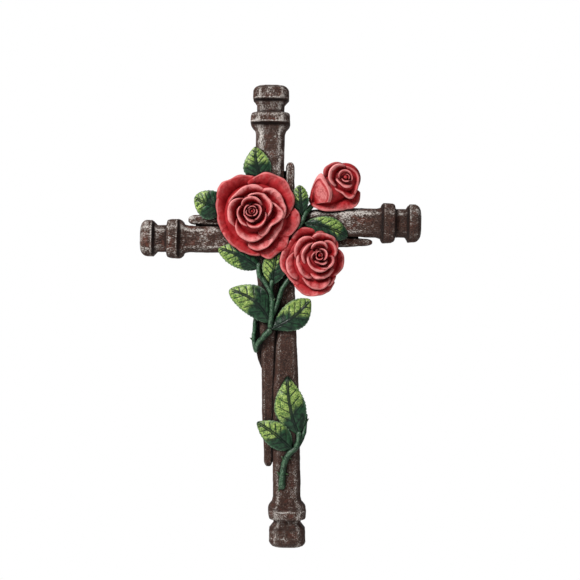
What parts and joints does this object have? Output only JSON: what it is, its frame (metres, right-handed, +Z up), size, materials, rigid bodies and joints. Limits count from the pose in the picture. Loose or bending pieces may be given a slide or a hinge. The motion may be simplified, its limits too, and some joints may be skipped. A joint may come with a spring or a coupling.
{
  "type": "wall cross",
  "caption": "Wall-hung relief cross of bundled forged nails with open roses, a rosebud, leaves and thorny stems, flat at the back.",
  "frame": {"origin": "on the flat back, where the upright and the level arm cross", "axes": "+Z up along the upright, +X to the viewer's right along the level arm, front faces -Y, flat back at y = 0"},
  "size_m": [0.1864, 0.0326, 0.3068],
  "materials": {
    "painted_resin": "hand-painted cold-cast resin: dark iron brown dry-brushed with silver, red roses and green leaves, satin"
  },
  "bodies": {
    "root": {"wall_cross": "painted_resin"}
  },
  "joints": []
}
